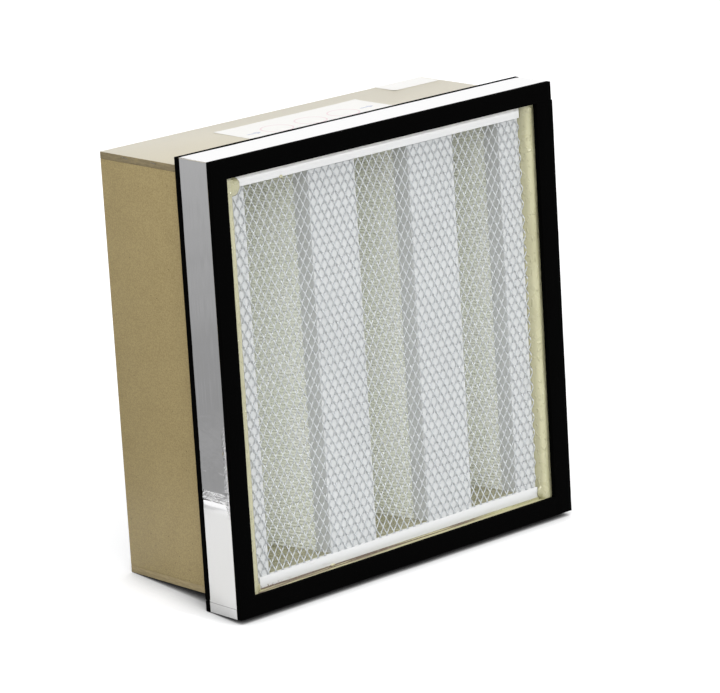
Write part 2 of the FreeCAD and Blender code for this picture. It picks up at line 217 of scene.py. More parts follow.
def slice_along(shape, axis, step):
    """Cut the shape's faces across an axis at even steps."""
    places = [vert.co[axis] for vert in shape.verts]
    low, high = min(places), max(places)
    count = max(1, round((high - low) / step))
    normal = Vector((axis == X, axis == Y, axis == Z))
    for index in range(1, count):
        point = normal * (low + (high - low) * index / count)
        bmesh.ops.bisect_plane(shape, geom=shape.verts[:] + shape.edges[:] + shape.faces[:],
                               plane_co=point, plane_no=normal, dist=0.001 * MM)


def repeat(shape, geometry, step, count):
    """Copy the geometry until it stands count times, each copy one step further."""
    latest = geometry
    for _ in range(count - 1):
        latest = bmesh.ops.duplicate(shape, geom=latest)["geom"]
        moved = [item for item in latest if isinstance(item, bmesh.types.BMVert)]
        bmesh.ops.translate(shape, vec=step, verts=moved)


def join_doubles(shape):
    bmesh.ops.remove_doubles(shape, verts=shape.verts, dist=0.01 * MM)


def finish_piece(name, shape, finishes, nodes, smooth=40):
    """Make the shape a piece that rides on the filter, with edges sharper than an angle kept sharp."""
    mesh = bpy.data.meshes.new(name)
    shape.to_mesh(mesh)
    shape.free()
    for finish in finishes:
        mesh.materials.append(finish)
    mesh.shade_smooth()
    mesh.set_sharp_from_angle(angle=math.radians(smooth))
    piece = bpy.data.objects.new(name, mesh)
    bpy.context.scene.collection.objects.link(piece)
    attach(piece, "root")
    if nodes:
        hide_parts(*nodes)
    return piece


def thicken(piece, thickness, offset=0.0):
    """Give a sheet its thickness, 0 for both sides alike and -1 for the inside alone."""
    wall = piece.modifiers.new("thickness", "SOLIDIFY")
    wall.thickness = thickness
    wall.offset = offset


def dress(node, finish):
    """Give a frame node a material of its own."""
    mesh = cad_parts[node].data
    mesh.materials.clear()
    mesh.materials.append(finish)


def bump_at(value, middle, width):
    """A smooth hump of height 1 at the middle."""
    return math.exp(-((value - middle) / width) ** 2)


# Materials

class Finish:
    """A node material under way, with the object's own coordinates at hand."""

    def __init__(self, name, roughness, specular=0.5, metallic=0.0):
        self.material = bpy.data.materials.new(name)
        self.material.use_nodes = True
        self.tree = self.material.node_tree
        self.shader = self.tree.nodes["Principled BSDF"]
        self.set("Roughness", roughness)
        self.set("Specular IOR Level", specular)
        self.set("Metallic", metallic)
        self.place = self.add("ShaderNodeTexCoord").outputs["Object"]

    def set(self, socket, value):
        self.feed(self.shader.inputs[socket], value)

    def feed(self, socket, value):
        if isinstance(value, bpy.types.NodeSocket):
            self.tree.links.new(value, socket)
        elif socket.type == "RGBA":
            socket.default_value = (*value, 1.0)
        else:
            socket.default_value = value

    def add(self, kind, inputs=None, **options):
        node = self.tree.nodes.new(kind)
        for option, value in options.items():
            setattr(node, option, value)
        for socket, value in (inputs or {}).items():
            self.feed(node.inputs[socket], value)
        return node

    def stretched(self, scale, turn=(0, 0, 0), centre=(0, 0, 0)):
        return self.add("ShaderNodeMapping", {"Vector": self.place, "Scale": scale, "Rotation": turn,
                                              "Location": centre}).outputs[0]

    def noise(self, scale, detail=2.0, place=None, distortion=0.0):
        return self.add("ShaderNodeTexNoise", {"Vector": place or self.place, "Scale": scale,
                                               "Detail": detail, "Distortion": distortion}).outputs["Fac"]

    def cells(self, scale, place=None, feature="F1", output="Distance"):
        return self.add("ShaderNodeTexVoronoi", {"Vector": place or self.place, "Scale": scale},
                        feature=feature).outputs[output]

    def ramp(self, value, low, high, start=0.0, end=1.0):
        return self.add("ShaderNodeMapRange", {"Value": value, "From Min": low, "From Max": high,
                                               "To Min": start, "To Max": end},
                        interpolation_type="SMOOTHSTEP").outputs[0]

    def sum(self, operation, first, second):
        return self.add("ShaderNodeMath", {0: first, 1: second}, operation=operation).outputs[0]

    def mix(self, amount, first, second):
        return self.add("ShaderNodeMix", {0: amount, 6: first, 7: second}, data_type="RGBA").outputs[2]

    def axis(self, index):
        return self.add("ShaderNodeSeparateXYZ", {0: self.place}).outputs[index]

    def near(self, index, middle, reach, soft):
        """1 within reach of a place on an axis, falling to 0 over a soft margin."""
        away = self.sum("ABSOLUTE", self.sum("SUBTRACT", self.axis(index), middle), 0.0)
        return self.ramp(away, reach, reach + soft, 1.0, 0.0)

    def all_of(self, *values):
        result = values[0]
        for value in values[1:]:
            result = self.sum("MULTIPLY", result, value)
        return result

    def relief(self, height, distance, under=None, strength=1.0):
        """Bump of a given depth, over an earlier one."""
        inputs = {"Height": height, "Distance": distance, "Strength": strength}
        if under is not None:
            inputs["Normal"] = under
        return self.add("ShaderNodeBump", inputs).outputs[0]


finishes = {}


def finish(name, maker):
    """The material of that name, made the first time it is asked for."""
    if name not in finishes:
        finishes[name] = maker()
    return finishes[name]


def fibreboard():
    case = setting("case")
    board = Finish("fibreboard", 0.5, 0.35)
    blotch = board.noise(30, 3)
    fibre = board.noise(520, 5)
    grit = board.noise(1300, 2)
    tone = board.sum("ADD", board.ramp(fibre, 0.4, 0.6, 0.0, 0.5), board.ramp(grit, 0.35, 0.65, 0.0, 0.4))
    face = board.mix(board.sum("ADD", tone, board.ramp(blotch, 0.3, 0.7, 0.0, 0.1)), case.board_dark, case.board)
    chosen = board.ramp(board.cells(105, output="Color"), 0.56, 0.6)
    dots = board.all_of(board.ramp(board.cells(105), 0.05, 0.11, 1.0, 0.0), chosen)
    small = board.ramp(board.cells(420), 0.06, 0.2, 0.5, 0.0)
    face = board.mix(board.sum("MAXIMUM", small, board.sum("MULTIPLY", dots, 0.85)), face, case.speck)
    # The top board's upper face takes mostly the paler lid colour: painted sheen.
    lid = board.ramp(board.axis(Z), 0.5934, 0.5938)
    lid_sheen = board.mix(0.8, face, board.mix(tone, [0.86 * channel for channel in case.lid], case.lid))
    resin = setting("resin")
    spill = board.all_of(board.near(Z, 0.305, 0.2798, 0.0005), board.near(X, 0.0, 0.2798, 0.0005),
                         board.ramp(board.axis(Y), -0.098, -0.1))
    smear = board.ramp(board.noise(80, 4, board.stretched((0.12, 1.5, 1))), 0.46, 0.56)
    clean_end = board.sum("MAXIMUM", board.ramp(board.axis(X), -0.15, 0.05), board.ramp(board.axis(Z), 0.03, 0.04))
    spilt = board.mix(board.sum("MAXIMUM", smear, clean_end), resin.dirt, resin.resin_deep)
    face = board.mix(spill, face, spilt)
    board.set("Base Color", board.mix(lid, face, lid_sheen))
    board.set("Roughness", board.ramp(fibre, 0.3, 0.7, 0.4, 0.55))
    board.set("Coat Weight", lid)
    board.set("Coat Roughness", 0.3)
    board.set("Coat IOR", 1.75)
    board.set("Normal", board.relief(fibre, 0.03 * MM, board.relief(grit, 0.02 * MM)))
    return board.material


def sawn_edge():
    case = setting("case")
    edge = Finish("sawn_edge", 0.8, 0.3)
    streak = edge.noise(260, 4, edge.stretched((0.35, 0.35, 1.6)))
    fluff = edge.noise(1400, 3)
    tone = edge.sum("ADD", edge.ramp(streak, 0.3, 0.7, 0.0, 0.6), edge.ramp(fluff, 0.3, 0.7, 0.0, 0.4))
    face = edge.mix(tone, [0.72 * channel for channel in case.sawn], [1.12 * channel for channel in case.sawn])
    top = edge.ramp(edge.axis(Z), 0.55, 0.56)
    smear = edge.ramp(edge.noise(55, 4, distortion=1.0), 0.58, 0.72, 0.0, 0.55)
    face = edge.mix(edge.all_of(smear, top), face, case.board)
    # The sawn edges high on the case are painted 30% darker: painted shade against the light they catch there.
    face = edge.mix(edge.sum("MULTIPLY", top, 0.3), face, (0, 0, 0))
    edge.set("Base Color", face)
    edge.set("Normal", edge.relief(fluff, 0.12 * MM))
    return edge.material


def foil():
    settings = setting("foil")
    tape = Finish("foil", 0.2, metallic=1.0)
    left = tape.ramp(tape.axis(X), -0.302, -0.304)
    crease = settings.crease_height
    foot = tape.ramp(tape.axis(Z), crease - 4 * MM, crease - 20 * MM)
    side = tape.mix(foot, settings.metal, settings.metal_low)
    tape.set("Base Color", tape.mix(left, (1, 1, 1), side))
    above = tape.ramp(tape.axis(Z), crease - 3 * MM, crease + 4 * MM)
    rim = tape.ramp(tape.axis(Y), -0.104, -0.1115)
    lean_in = tape.stretched((1, 0.8, 1.4), (0.5, 0, 0))
    bump = tape.relief(tape.noise(22, 2, tape.stretched((1, 1, 0.4))), 0.2 * MM)
    zone = tape.all_of(left, tape.near(Z, 0.21, 0.03, 0.07), above)
    bump = tape.relief(tape.sum("MULTIPLY", tape.noise(46, 3, lean_in, 1.0), zone), 0.9 * MM, bump)
    streaks = tape.all_of(left, tape.near(Z, crease + 6 * MM, 5 * MM, 4 * MM))
    bump = tape.relief(tape.sum("MULTIPLY", tape.noise(120, 3, lean_in, 1.5), streaks), 2.4 * MM, bump)
    glints = tape.all_of(tape.noise(190, 3, distortion=1.5), tape.near(Z, 0.2, 0.035, 0.04), rim, left)
    bump = tape.relief(glints, 2.6 * MM, bump)
    ragged = tape.ramp(tape.noise(70, 3, tape.stretched((0, 1, 0))), 0.3, 0.7, -2.6 * MM, 2.6 * MM)
    lean = tape.sum("MULTIPLY", tape.sum("MINIMUM", tape.axis(Z), tape.sum("ADD", ragged, crease)), left)
    tape.set("Normal", tape.relief(lean, settings.lean, bump))
    sheen = tape.ramp(tape.noise(24, 4), 0.3, 0.7, 0.09, 0.15)
    tape.set("Roughness", tape.sum("MULTIPLY", sheen, tape.ramp(left, 0.0, 1.0, 0.35, 1.0)))
    return tape.material


def foam():
    settings = setting("foam")
    strip = Finish("foam", 0.95, 0.02)
    pores = strip.cells(1100, feature="F1")
    dust = strip.ramp(strip.noise(1900, 2), 0.7, 0.78)
    strip.set("Base Color", strip.mix(strip.sum("MULTIPLY", dust, 0.25), settings.foam,
                                      [6 * channel for channel in settings.foam]))
    strip.set("Normal", strip.relief(pores, 0.25 * MM, strip.relief(strip.noise(120, 3), 0.3 * MM)))
    return strip.material


def pleated_paper():
    settings = setting("packs")
    paper = Finish("pleated_paper", 0.9, 0.2)
    cloud = paper.noise(22, 3)
    fibre = paper.noise(1300, 3)
    paper.set("Base Color", paper.mix(paper.ramp(cloud, 0.3, 0.7), settings.shade, settings.paper))
    paper.set("Normal", paper.relief(fibre, 0.06 * MM))
    return paper.material


def white_channel():
    settings = setting("whites")
    white = Finish("white_channel", 0.4, 0.4)
    cloud = white.noise(14, 3)
    white.set("Base Color", white.mix(white.ramp(cloud, 0.3, 0.7), [0.96 * v for v in settings.channel],
                                      settings.channel))
    white.set("Roughness", white.ramp(white.noise(60, 3), 0.3, 0.7, 0.34, 0.5))
    white.set("Normal", white.relief(white.noise(35, 2), 0.25 * MM, white.relief(white.noise(700, 2), 0.02 * MM)))
    return white.material


def white_rail():
    settings = setting("whites")
    low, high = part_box("front_bottom_rail")
    white = Finish("white_rail", 0.35, 0.45)
    grime = white.ramp(white.noise(260, 5, distortion=0.6), 0.5, 0.66)
    end = white.all_of(white.ramp(white.axis(X), low.x + 75 * MM, low.x + 4 * MM),
                       white.ramp(white.axis(Z), low.z + 4.2 * MM, low.z + 1.2 * MM),
                       white.ramp(white.axis(Y), low.y + 1.2 * MM, low.y + 0.4 * MM))
    scuff = white.ramp(white.noise(90, 5, white.stretched((0.25, 1, 1.5))), 0.66, 0.74, 0.0, 0.12)
    # The upper rails are painted 14% brighter, and brighter still near their top edge under the foam: painted light
    # that cancels their shade.
    upper = white.ramp(white.axis(Z), 0.3, 0.31)
    lit_paint = white.mix(upper, settings.rail, [min(1.0, 1.14 * channel) for channel in settings.rail])
    lit_paint = white.mix(white.ramp(white.axis(Z), 0.571, 0.579), lit_paint, (0.95, 0.95, 0.95))
    face = white.mix(white.sum("MAXIMUM", white.all_of(grime, end), scuff), lit_paint, settings.dirt)
    white.set("Base Color", face)
    white.set("Normal", white.relief(white.noise(500, 2), 0.02 * MM))
    return white.material


def guard_paint():
    settings = setting("guards")
    paint = Finish("guard_paint", 0.5, 0.3)
    peel = paint.noise(1100, 2)
    thin = paint.ramp(paint.noise(240, 4), 0.66, 0.8, 0.0, 0.25)
    paint.set("Base Color", paint.mix(thin, settings.paint, [0.72 * v for v in settings.paint]))
    paint.set("Normal", paint.relief(peel, 0.02 * MM))
    return paint.material


def resin():
    settings = setting("resin")
    cast = Finish("resin", 0.22, 0.5)
    cloud = cast.noise(26, 4, cast.stretched((1, 1, 0.35)), 0.4)
    deep = cast.ramp(cloud, 0.32, 0.68)
    plain = cast.mix(deep, settings.resin_deep, settings.resin)
    # Resin between 210 and 260 mm right of the middle, along the right bead's lip, is painted darker: painted shade.
    lip_shade = cast.all_of(cast.ramp(cast.axis(X), 0.2655, 0.2605), cast.ramp(cast.axis(X), 0.2, 0.21))
    plain = cast.mix(lip_shade, plain, [0.88 * v for v in settings.resin_deep])
    lip = cast.all_of(cast.ramp(cast.axis(Z), 30 * MM, 29 * MM), cast.ramp(cast.axis(Y), -0.095, -0.098),
                      cast.ramp(cast.axis(X), -0.256, -0.254), cast.ramp(cast.axis(X), 0.2, 0.1))
    streak = cast.ramp(cast.noise(90, 4, cast.stretched((0.12, 1, 6))), 0.5, 0.66)
    dirty = cast.mix(streak, settings.dirt, settings.resin)
    # The lower bed behind the front rail takes the darker bed colour: painted shade.
    bed = cast.all_of(cast.ramp(cast.axis(Y), -0.1, -0.096), cast.ramp(cast.axis(Z), 0.046, 0.045))
    plain = cast.mix(bed, plain, settings.bed)
    cast.set("Base Color", cast.mix(lip, plain, dirty))
    cast.set("Roughness", cast.ramp(cast.noise(50, 3), 0.3, 0.7, 0.14, 0.34))
    cast.set("Coat Weight", 0.6)
    cast.set("Coat Roughness", 0.1)
    wrinkle = cast.noise(70, 3, cast.stretched((1, 1, 0.3)), 0.5)
    pimple = cast.ramp(cast.noise(230, 1, cast.stretched((1, 1, 0.6))), 0.58, 0.74)
    fine = cast.relief(pimple, 0.7 * MM, cast.relief(cast.noise(420, 2), 0.05 * MM))
    flow = cast.relief(wrinkle, 0.9 * MM, fine)
    cast.set("Normal", flow)
    cast.set("Coat Normal", flow)
    return cast.material


def sticker(wide):
    settings = setting("labels")
    paper = Finish("wide_sticker" if wide else "small_sticker", 0.5, 0.4)
    low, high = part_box("wide_label")
    stain = paper.ramp(paper.noise(40, 4), 0.55, 0.8, 0.0, 0.12)
    face = paper.mix(stain, settings.sticker, settings.ring)
    if wide:
        middle = (low + high) / 2
        for offset in (-61, -1, 58):
            away = paper.add("ShaderNodeVectorMath", {0: paper.place, 1: (middle.x + offset * MM, middle.y, high.z)},
                             operation="DISTANCE").outputs["Value"]
            off_line = paper.sum("ABSOLUTE", paper.sum("SUBTRACT", away, settings.ring_radius), 0.0)
            line = paper.ramp(off_line, settings.ring_line * 0.35, settings.ring_line * 0.65, 1.0, 0.0)
            face = paper.mix(line, face, settings.ring)
    paper.set("Base Color", face)
    paper.set("Normal", paper.relief(paper.noise(60, 3), 0.25 * MM))
    return paper.material


def printed_arrow():
    settings = setting("labels")
    ink = Finish("printed_arrow", 0.55, 0.3)
    worn = ink.ramp(ink.noise(300, 3), 0.45, 0.75, 0.0, 0.6)
    ink.set("Base Color", ink.mix(worn, settings.arrow, settings.sticker))
    return ink.material


def staple_steel():
    steel = Finish("staple_steel", 0.35, metallic=1.0)
    rust = steel.ramp(steel.noise(700, 3), 0.5, 0.7)
    steel.set("Base Color", steel.mix(rust, linear(150, 148, 142), linear(112, 92, 70)))
    steel.set("Roughness", steel.ramp(rust, 0.0, 1.0, 0.3, 0.7))
    return steel.material


# Operators, one for each piece or group of like pieces

class FILTER_OT_case(bpy.types.Operator):
    """Four fibreboard walls with eased edges, and the wooden collar's finish"""
    bl_idname = "filter.case"
    bl_label = "Case Boards"

    def execute(self, context):
        settings = setting("case")
        face = finish("fibreboard", fibreboard)
        edge = finish("sawn_edge", sawn_edge)
        for side in ("bottom", "top", "left", "right"):
            name = side + "_board"
            shape = block(*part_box(name))
            round_edges(shape, settings.edge_round, 2)
            lying = side in ("bottom", "top")
            for polygon in shape.faces:
                across = abs(polygon.normal.x) if lying else abs(polygon.normal.z)
                sawn = max(across, abs(polygon.normal.y)) > 0.5
                polygon.material_index = 1 if sawn else 0
            finish_piece("case_" + name, shape, (face, edge), (name,))
            dress(side + "_batten", face)
        return {"FINISHED"}


class FILTER_OT_foil(bpy.types.Operator):
    """Aluminium tape round the collar, creased low on the left face and lapped near the bottom"""
    bl_idname = "filter.foil"
    bl_label = "Foil Tape"

    def height(self, point):
        """How far the tape stands off its collar at a point of its left face or elsewhere."""
        settings = setting("foil")
        slow = noise.noise(point * 22) * settings.ripple
        if point.x > -0.30:
            return slow
        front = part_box("foil_band")[0].y
        to_front = point.y - front
        folded = bump_at(point.z, 0.215, 0.045) * (0.35 + 0.65 * math.exp(-to_front / (18 * MM)))
        ridge = 1 - abs(noise.noise(Vector((point.y * 70, point.z * 95, 3.1)))) * 2.2
        fold_line = settings.crease_height + 5 * MM * noise.noise(Vector((point.y * 40, 1.7, 0.0)))
        long_fold = bump_at(point.z, fold_line, 2.6 * MM) - 0.6 * bump_at(point.z, fold_line - 6 * MM, 4 * MM)
        return slow + settings.crease * (folded * ridge * 0.8 + 0.7 * long_fold)

    def execute(self, context):
        settings = setting("foil")
        low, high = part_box("foil_band")
        side = high.x
        thickness = -(low.x + high.x)
        shape = block(Vector((-side, low.y, low.z)), high)
        ends = [face for face in shape.faces if abs(face.normal.y) > 0.5]
        bmesh.ops.delete(shape, geom=ends, context="FACES_ONLY")
        corners = [edge for edge in shape.edges if abs(edge.verts[0].co.y - edge.verts[1].co.y) > MM]
        round_edges(shape, settings.corner_round, 3, corners)
        slice_along(shape, X, 9 * MM)
        slice_along(shape, Z, 3 * MM)
        slice_along(shape, Y, 3.4 * MM)
        shape.normal_update()
        moves = [(vert, vert.normal * self.height(vert.co)) for vert in shape.verts]
        for vert, move in moves:
            vert.co += move
        self.add_lap(shape, low, high, thickness)
        bmesh.ops.solidify(shape, geom=shape.faces[:], thickness=thickness)
        finish_piece("foil_tape", shape, (finish("foil", foil),), ("foil_band",))
        return {"FINISHED"}

    def add_lap(self, shape, low, high, thickness):
        """The tape's tail, laid over its start from the bottom edge upward."""
        made = bmesh.ops.create_grid(shape, x_segments=6, y_segments=16, size=0.5)["verts"]
        settings = setting("foil")
        bmesh.ops.scale(shape, vec=(settings.lap, high.y - low.y, 1), verts=made)
        bmesh.ops.rotate(shape, cent=(0, 0, 0), matrix=Matrix.Rotation(math.radians(-90), 3, "Y"), verts=made)
        middle = Vector((-high.x, (low.y + high.y) / 2, low.z + settings.lap / 2))
        bmesh.ops.translate(shape, vec=middle, verts=made)
        for vert in made:
            lift = thickness + 0.15 * MM * bump_at(vert.co.z, low.z + settings.lap, 3 * MM)
            vert.co.x -= lift + self.height(vert.co)


class FILTER_OT_foam(bpy.types.Operator):
    """Eight black foam strips, soft at their edges, on both faces of the collar"""
    bl_idname = "filter.foam"
    bl_label = "Foam Strips"

    def execute(self, context):
        settings = setting("foam")
        strip_finish = finish("foam", foam)
        for face in ("front", "rear"):
            for side in ("left", "top", "right", "bottom"):
                node = f"{face}_foam_{side}"
                low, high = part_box(node)
                self.spread(low, high, node, settings)
                shape = block(low, high)
                round_edges(shape, settings.edge_round, 3)
                slice_along(shape, X if side in ("top", "bottom") else Z, 7 * MM)
                shape.normal_update()
                for vert in shape.verts:
                    drift = 0.5 + 0.5 * noise.noise(vert.co * 14) + 0.35 * noise.noise(vert.co * 70)
                    vert.co -= vert.normal * settings.wave * max(0.0, min(1.0, drift))
                piece = finish_piece(f"{face}_gasket_{side}", shape, (strip_finish,), (node,))
        return {"FINISHED"}

    def spread(self, low, high, node, settings):
        """Let a front strip spread over the mouth's edge, and the rear one stick out at its lower corner."""
        inward = {"front_foam_left": (high, X, 1.5), "front_foam_right": (low, X, -3),
                  "front_foam_bottom": (high, Z, 1), "front_foam_top": (low, Z, -1)}
        if node in inward:
            corner, axis, reach = inward[node]
            corner[axis] += reach * settings.spread
        if node == "rear_foam_bottom":
            low.x -= 0.8 * MM
        if node == "front_foam_top":
            high.x -= MM


def footprint(node):
    """The front and rear middle points and the thickness of a slanted pack, from its flat top."""
    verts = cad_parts[node].data.vertices
    top = max(vert.co.z for vert in verts)
    flat = {(round(v.co.x, 6), round(v.co.y, 6)) for v in verts if v.co.z > top - 0.1 * MM}
    ends = sorted(flat, key=lambda spot: spot[1])
    front = [Vector(spot) for spot in ends[:2]]
    rear = [Vector(spot) for spot in ends[-2:]]
    return (front[0] + front[1]) / 2, (rear[0] + rear[1]) / 2, (front[0] - front[1]).length


class FILTER_OT_packs(bpy.types.Operator):
    """Six packs of folded paper, each a sheet run up and down through its pack"""
    bl_idname = "filter.packs"
    bl_label = "Pleated Packs"

    def execute(self, context):
        settings = setting("packs")
        paper = finish("pleated_paper", pleated_paper)
        for number in range(1, 7):
            node = f"pleat_pack_{number}"
            front, rear, thickness = footprint(node)
            low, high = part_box(node)
            folds = round((high.z - low.z) / settings.fold_pitch)
            pitch = (high.z - low.z) / folds
            length = (rear - front).length
            shape = bmesh.new()
            centre = thickness / 2 - settings.fold_round * settings.fold_flat
            self.draw_fold(shape, pitch, centre, settings.fold_round)
            for vert in shape.verts:
                past = max(0.0, abs(vert.co.x) - centre)
                vert.co.x -= math.copysign(past * (1 - settings.fold_flat), vert.co.x)
            repeat(shape, shape.verts[:] + shape.edges[:], (0, 0, pitch), folds)
            join_doubles(shape)
            steps = 10
            bmesh.ops.spin(shape, geom=shape.verts[:] + shape.edges[:], cent=(0, 0, 0), axis=(0, 0, 1),
                           dvec=(0, length / steps, 0), angle=0, steps=steps, use_merge=False,
                           use_normal_flip=False, use_duplicate=False)
            for vert in shape.verts:
                self.wander(vert, number, settings.wander, thickness / 2)
            way = rear - front
            turn = Matrix.Rotation(-math.atan2(way.x, way.y), 4, "Z")
            place = Matrix.Translation((front.x, front.y, low.z + settings.fold_round)) @ turn
            bmesh.ops.transform(shape, matrix=place, verts=shape.verts)
            bmesh.ops.recalc_face_normals(shape, faces=shape.faces)
            piece = finish_piece(f"folded_pack_{number}", shape, (paper,), (node,), 70)
            thicken(piece, settings.paper_thick)
        return {"FINISHED"}

    def draw_fold(self, shape, pitch, centre, radius):
        """One fold's line: round a tip, across, round the other tip and back across."""
        first = shape.verts.new((centre, 0, -radius))
        tip = self.arc(shape, first, (centre, 0, 0), -math.pi)
        wall = self.lead(shape, tip, (-centre, 0, pitch / 2 - radius))
        back = self.arc(shape, wall, (-centre, 0, pitch / 2), math.pi)
        self.lead(shape, back, (centre, 0, pitch - radius))

    def arc(self, shape, vert, centre, angle):
        made = bmesh.ops.spin(shape, geom=[vert], cent=centre, axis=(0, 1, 0), dvec=(0, 0, 0), angle=angle,
                              steps=4, use_merge=False, use_normal_flip=False, use_duplicate=False)
        return next(item for item in made["geom_last"] if isinstance(item, bmesh.types.BMVert))

    def lead(self, shape, vert, place):
        made = bmesh.ops.extrude_vert_indiv(shape, verts=[vert])["verts"][0]
        made.co = place
        return made

    def wander(self, vert, number, reach, half):
        """Let the folds stray a little, as paper does, most at their tips."""
        spot = Vector((number * 7.3, vert.co.y * 9, vert.co.z * 11))
        each = Vector((number * 3.1, vert.co.y * 16, vert.co.z * 190))
        vert.co.z += reach * (noise.noise(spot) + 0.9 * noise.noise(each) * abs(vert.co.x) / half)
        vert.co.x -= math.copysign(reach * (0.6 + noise.noise(each * 1.3)), vert.co.x) * abs(vert.co.x) / half


class FILTER_OT_whites(bpy.types.Operator):
    """White channels at the packs' ends, and the rails that hold the guards"""
    bl_idname = "filter.whites"
    bl_label = "Channels and Rails"

    def execute(self, context):
        settings = setting("whites")
        channel = finish("white_channel", white_channel)
        rail = finish("white_rail", white_rail)
        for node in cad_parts:
            if "_nose_" in node:
                dress(node, channel)
            if node.endswith("_rail"):
                shape = copy_of(node)
                round_edges(shape, settings.edge_round, 2)
                slice_along(shape, X, 14 * MM)
                for vert in shape.verts:
                    vert.co.z += 0.25 * MM * noise.noise(Vector((vert.co.x * 9, 0.0, 4.0)))
                finish_piece(node.replace("rail", "holder"), shape, (rail,), (node,), 30)
        return {"FINISHED"}


class FILTER_OT_guards(bpy.types.Operator):
    """Two sheets of expanded metal, slit and stretched into leaning diamonds"""
    bl_idname = "filter.guards"
    bl_label = "Expanded Metal Guards"

    def execute(self, context):
        settings = setting("guards")
        paint = finish("guard_paint", guard_paint)
        for face, forward in (("front", -1), ("rear", 1)):
            low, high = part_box(face + "_guard")
            middle = (low + high) / 2
            half = high - middle
            shape = bmesh.new()
            self.draw_crossing(shape)
            self.spread_lattice(shape, half)
            for axis in (X, Z):
                for way in (-1, 1):
                    normal = Vector((axis == X, 0, axis == Z)) * way
                    point = normal * half[axis]
                    bmesh.ops.bisect_plane(shape, geom=shape.verts[:] + shape.edges[:] + shape.faces[:],
                                           plane_co=point, plane_no=normal, clear_outer=True)
            for vert in shape.verts:
                self.bow(vert, half, forward)
            bmesh.ops.translate(shape, vec=middle, verts=shape.verts)
            bmesh.ops.recalc_face_normals(shape, faces=shape.faces)
            piece = finish_piece(face + "_mesh", shape, (paint,), (face + "_guard",), 50)
            thicken(piece, settings.metal_thick)
        return {"FINISHED"}

    def draw_crossing(self, shape):
        """One bond and the four half strands that run to its neighbours, leaning as slit metal does."""
        settings = setting("guards")
        corner_share = math.cos(math.radians(30))
        bmesh.ops.create_circle(shape, cap_ends=True, radius=1, segments=6)
        bmesh.ops.scale(shape, vec=(settings.bond_wide / corner_share, settings.bond_tall, 1), verts=shape.verts)
        bmesh.ops.rotate(shape, cent=(0, 0, 0), matrix=Matrix.Rotation(math.radians(90), 3, "X"), verts=shape.verts)
        for vert in shape.verts:
            upper = vert.co.z > 0
            outer = abs(vert.co.x) > 0.1 * MM
            vert.co.y = settings.lean * (-1 if upper == outer else 1) * (0.5 if outer else 1)
        slanted = [edge for edge in shape.edges if abs(edge.verts[0].co.x - edge.verts[1].co.x) > 0.1 * MM]
        for edge in slanted:
            inner = min(edge.verts, key=lambda vert: abs(vert.co.x))
            outer = edge.other_vert(inner)
            way = Vector((math.copysign(settings.gap_wide, outer.co.x), 0,
                          math.copysign(settings.gap_tall, outer.co.z))) / 4
            across = Vector((-way.z, 0, way.x)).normalized() * settings.strand / 2
            across *= math.copysign(1, across.dot(inner.co - outer.co))
            made = bmesh.ops.extrude_edge_only(shape, edges=[edge])["geom"]
            fresh = [item for item in made if isinstance(item, bmesh.types.BMVert)]
            near_inner = min(fresh, key=lambda vert: (vert.co - inner.co).length)
            near_outer = next(vert for vert in fresh if vert is not near_inner)
            for vert, offset in ((near_inner, across), (near_outer, -across)):
                above = offset.z > 0
                vert.co = way + offset
                vert.co.y = settings.lean if above else -settings.lean

    def spread_lattice(self, shape, half):
        """Two lattices of crossings, half a gap apart both ways."""
        settings = setting("guards")
        wide, tall = settings.gap_wide, settings.gap_tall
        wide = 2 * half.x / round(2 * half.x / wide)
        columns = math.ceil(half.x / wide)
        rows = math.ceil(half.z / tall)
        one = shape.verts[:] + shape.edges[:] + shape.faces[:]
        bmesh.ops.translate(shape, vec=(-columns * wide, 0, -rows * tall), verts=shape.verts)
        two = bmesh.ops.duplicate(shape, geom=one)["geom"]
        bmesh.ops.translate(shape, vec=(wide / 2, 0, tall / 2),
                            verts=[item for item in two if isinstance(item, bmesh.types.BMVert)])
        repeat(shape, shape.verts[:] + shape.edges[:] + shape.faces[:], (wide, 0, 0), 2 * columns + 1)
        repeat(shape, shape.verts[:] + shape.edges[:] + shape.faces[:], (0, 0, tall), 2 * rows + 1)
        join_doubles(shape)

    def bow(self, vert, half, forward):
        """Bow the sheet outward and let it run uneven, held flat at its top and bottom rails."""
        settings = setting("guards")
        across = vert.co.x / half.x
        upward = vert.co.z / half.z
        held = 1 - upward ** 4
        wave = noise.noise(Vector((across * 2.1, upward * 2.6, forward * 3.3)))
        vert.co.y += forward * (settings.bulge * held * wave - settings.press * (1 - 0.3 * across ** 4))
        if forward < 0:
            vert.co.x += settings.spread * (1 - upward ** 2) * max(0.0, across) ** 3
        vert.co.x += 1.2 * MM * held * noise.noise(Vector((across * 3, upward * 3, 8.8)))


